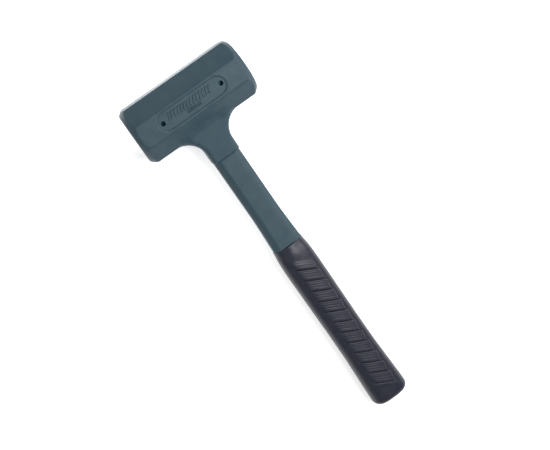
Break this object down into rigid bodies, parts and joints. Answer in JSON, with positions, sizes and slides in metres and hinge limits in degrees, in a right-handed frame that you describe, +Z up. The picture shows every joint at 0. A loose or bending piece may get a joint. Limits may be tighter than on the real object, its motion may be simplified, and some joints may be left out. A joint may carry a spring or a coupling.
{
  "type": "dead blow mallet",
  "caption": "Soft-faced dead blow mallet: an octagonal moulded head round a steel canister of loose shot, on a rod-cored handle with a rubber grip.",
  "frame": {"origin": "on the surface that the mallet lies on, under the middle of its box; it rests on the edge of the head's rear facet and on the butt's underside", "axes": "+X along the striking axis to the right-hand face as seen from the front panel; +Y from the butt towards the crown, level, so that the handle falls 2.0 degrees below it; +Z up, out of the front panel"},
  "size_m": [0.107, 0.3374, 0.0507],
  "materials": {
    "polyurethane": "satin",
    "grip_rubber": "matte",
    "canister_steel": "satin",
    "rod_steel": "satin",
    "shot_steel": "satin"
  },
  "bodies": {
    "mallet": {"head_moulding": "polyurethane", "handle_sleeve": "polyurethane", "grip": "grip_rubber", "canister_tube": "canister_steel", "canister_cap_left": "canister_steel", "canister_cap_right": "canister_steel", "rod_socket": "rod_steel", "handle_rod": "rod_steel"},
    "shot": {"shot_01": "shot_steel", "shot_02": "shot_steel", "shot_03": "shot_steel", "shot_04": "shot_steel", "shot_05": "shot_steel", "shot_06": "shot_steel", "shot_07": "shot_steel", "shot_08": "shot_steel", "shot_09": "shot_steel", "shot_10": "shot_steel", "shot_11": "shot_steel", "shot_12": "shot_steel", "shot_13": "shot_steel", "shot_14": "shot_steel", "shot_15": "shot_steel", "shot_16": "shot_steel", "shot_17": "shot_steel", "shot_18": "shot_steel", "shot_19": "shot_steel", "shot_20": "shot_steel", "shot_21": "shot_steel", "shot_22": "shot_steel", "shot_23": "shot_steel", "shot_24": "shot_steel", "shot_25": "shot_steel", "shot_26": "shot_steel", "shot_27": "shot_steel", "shot_28": "shot_steel", "shot_29": "shot_steel", "shot_30": "shot_steel", "shot_31": "shot_steel", "shot_32": "shot_steel", "shot_33": "shot_steel", "shot_34": "shot_steel", "shot_35": "shot_steel", "shot_36": "shot_steel", "shot_37": "shot_steel", "shot_38": "shot_steel", "shot_39": "shot_steel", "shot_40": "shot_steel", "shot_41": "shot_steel", "shot_42": "shot_steel"}
  },
  "joints": [
    {"name": "shot_slide", "type": "slide", "parent": "mallet", "child": "shot", "axis": [1, 0, 0], "range_m": [-0.0105, 0.0105]}
  ]
}
